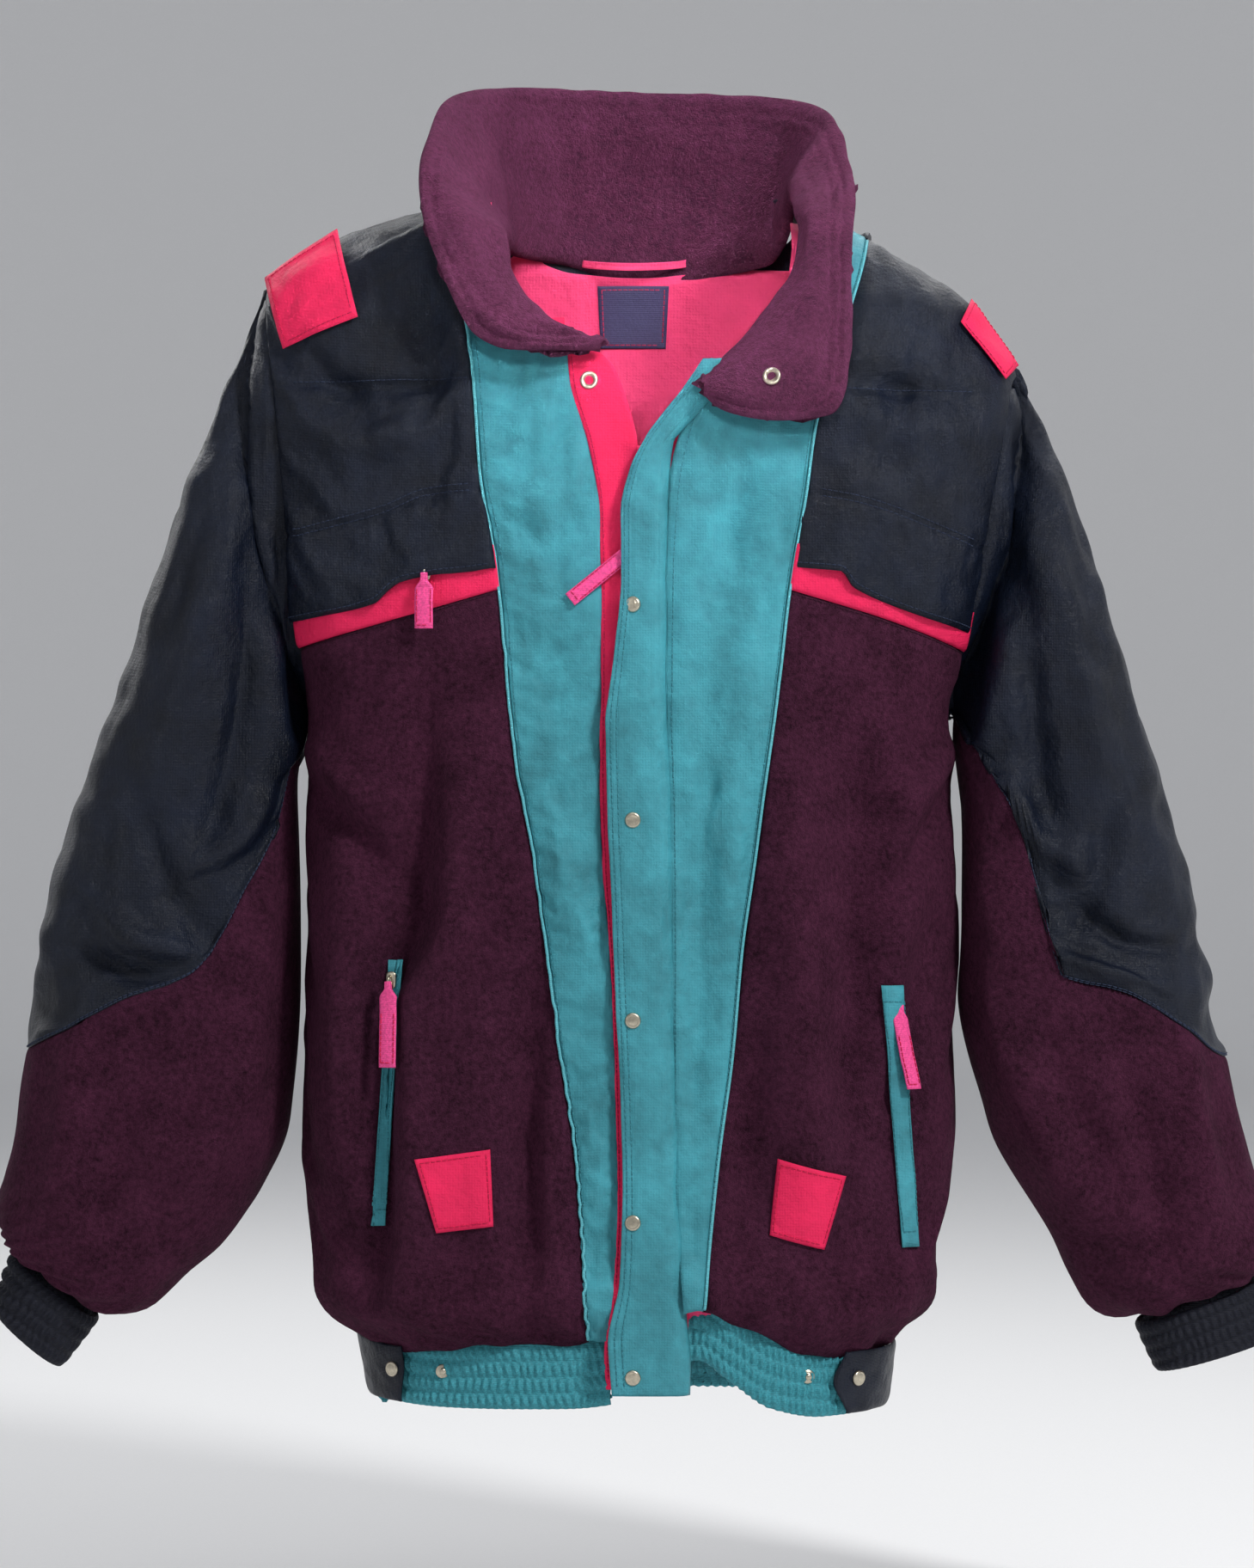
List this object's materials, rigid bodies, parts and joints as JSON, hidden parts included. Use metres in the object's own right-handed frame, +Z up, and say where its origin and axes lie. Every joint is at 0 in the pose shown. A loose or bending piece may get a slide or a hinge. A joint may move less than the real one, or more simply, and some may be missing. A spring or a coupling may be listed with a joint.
{
  "type": "ski jacket",
  "caption": "Hung ski jacket with fleece and nylon panels, tall collar, part-open front zip under a storm flap, quilted lining, zip pockets, elastic hem and cuffs.",
  "frame": {"origin": "middle of the hanging loop at the back neck seam", "axes": "+Z up, the front faces -Y, +X towards the wearer's left"},
  "size_m": [0.7766, 0.2168, 0.81],
  "materials": {
    "fleece": "matte",
    "navy_nylon": "satin",
    "teal_nylon": "satin",
    "pink_nylon": "satin",
    "pink_lining": "satin",
    "wadding": "matte",
    "navy_elastic": "matte",
    "teal_elastic": "satin",
    "snap_metal": "satin",
    "zip_metal": "satin",
    "zip_coil": "satin",
    "zip_tape": "matte",
    "pull_tape": "matte",
    "label": "satin"
  },
  "bodies": {
    "jacket_body": {"chest_trim_left": "pink_nylon", "chest_trim_right": "pink_nylon", "collar_inner": "fleece", "collar_outer": "fleece", "collar_piping": "pink_nylon", "collar_snaps": "snap_metal", "facing_left": "pink_nylon", "facing_right": "pink_nylon", "fleece_back": "fleece", "fleece_front_left": "fleece", "fleece_front_right": "fleece", "hang_loop": "pink_lining", "hem_back": "teal_elastic", "hem_front_left": "teal_elastic", "hem_front_right": "teal_elastic", "hem_studs": "snap_metal", "lining_back": "pink_lining", "lining_front_left": "pink_lining", "lining_front_right": "pink_lining", "neck_label": "label", "patches": "pink_nylon", "placket_studs": "snap_metal", "pocket_bags": "pink_lining", "pocket_welts": "teal_nylon", "teal_front_left": "teal_nylon", "teal_front_right": "teal_nylon", "wadding": "wadding", "yoke_back": "navy_nylon", "yoke_front_left": "navy_nylon", "yoke_front_right": "navy_nylon", "zip_box": "zip_coil", "zip_coil_left": "zip_coil", "zip_coil_right": "zip_coil", "zip_tape_left": "zip_tape", "zip_tape_right": "zip_tape"},
    "sleeve_right": {"sleeve_navy_right": "navy_nylon", "sleeve_fleece_right": "fleece", "sleeve_lining_right": "pink_lining", "cuff_right": "navy_elastic"},
    "sleeve_left": {"sleeve_navy_left": "navy_nylon", "sleeve_fleece_left": "fleece", "sleeve_lining_left": "pink_lining", "cuff_left": "navy_elastic"},
    "zip_slider": {"zip_slider": "zip_metal"},
    "zip_pull": {"zip_pull": "pull_tape"},
    "storm_flap": {"storm_flap": "teal_nylon", "flap_snaps": "snap_metal"},
    "hem_tab_right": {"hem_tab_right": "navy_nylon", "tab_snap_right": "snap_metal"},
    "hem_tab_left": {"hem_tab_left": "navy_nylon", "tab_snap_left": "snap_metal"},
    "hand_right_slider": {"hand_right_slider": "zip_metal"},
    "hand_right_pull": {"hand_right_pull": "pull_tape"},
    "hand_left_slider": {"hand_left_slider": "zip_metal"},
    "hand_left_pull": {"hand_left_pull": "pull_tape"},
    "chest_slider": {"chest_slider": "zip_metal"},
    "chest_pull": {"chest_pull": "pull_tape"}
  },
  "joints": [
    {"name": "sleeve_right_swing", "type": "hinge", "parent": "jacket_body", "child": "sleeve_right", "pos_m": [-0.227, -0.072, -0.019], "axis": [0, 1, 0], "range_deg": [0, 15]},
    {"name": "sleeve_left_swing", "type": "hinge", "parent": "jacket_body", "child": "sleeve_left", "pos_m": [0.236, -0.072, -0.069], "axis": [0, -1, 0], "range_deg": [0, 15]},
    {"name": "main_zip", "type": "slide", "parent": "jacket_body", "child": "zip_slider", "axis": [0, 0, 1], "range_m": [-0.452, 0]},
    {"name": "zip_pull_swing", "type": "hinge", "parent": "zip_slider", "child": "zip_pull", "pos_m": [0.01, -0.1713, -0.18], "axis": [0, 1, 0], "range_deg": [-51, 20]},
    {"name": "storm_flap_open", "type": "hinge", "parent": "jacket_body", "child": "storm_flap", "pos_m": [0.0255, -0.1772, -0.4], "axis": [0, 0, 1], "range_deg": [0, 135]},
    {"name": "hem_tab_right_open", "type": "hinge", "parent": "jacket_body", "child": "hem_tab_right", "pos_m": [-0.1602, -0.062, -0.682], "axis": [0, 0, -1], "range_deg": [0, 60]},
    {"name": "hem_tab_left_open", "type": "hinge", "parent": "jacket_body", "child": "hem_tab_left", "pos_m": [0.1512, -0.062, -0.682], "axis": [0, 0, 1], "range_deg": [0, 60]},
    {"name": "hand_right_zip", "type": "slide", "parent": "jacket_body", "child": "hand_right_slider", "axis": [-0.0843, 0.045, -0.9954], "range_m": [0, 0.128]},
    {"name": "hand_right_pull_lift", "type": "hinge", "parent": "hand_right_slider", "child": "hand_right_pull", "pos_m": [-0.1471, -0.15546, -0.448], "axis": [-0.9138, 0.4063, 0], "range_deg": [0, 95]},
    {"name": "hand_left_zip", "type": "slide", "parent": "jacket_body", "child": "hand_left_slider", "axis": [0.0993, 0.0687, -0.9927], "range_m": [0, 0.096]},
    {"name": "hand_left_pull_lift", "type": "hinge", "parent": "hand_left_slider", "child": "hand_left_pull", "pos_m": [0.15942, -0.14323, -0.462], "axis": [-0.791, -0.6118, 0], "range_deg": [0, 95]},
    {"name": "chest_zip", "type": "slide", "parent": "jacket_body", "child": "chest_slider", "axis": [-0.942, 0.2364, -0.2383], "range_m": [0, 0.044]},
    {"name": "chest_pull_lift", "type": "hinge", "parent": "chest_slider", "child": "chest_pull", "pos_m": [-0.12525, -0.16578, -0.204], "axis": [-0.982, 0.1889, 0], "range_deg": [0, 95]}
  ]
}
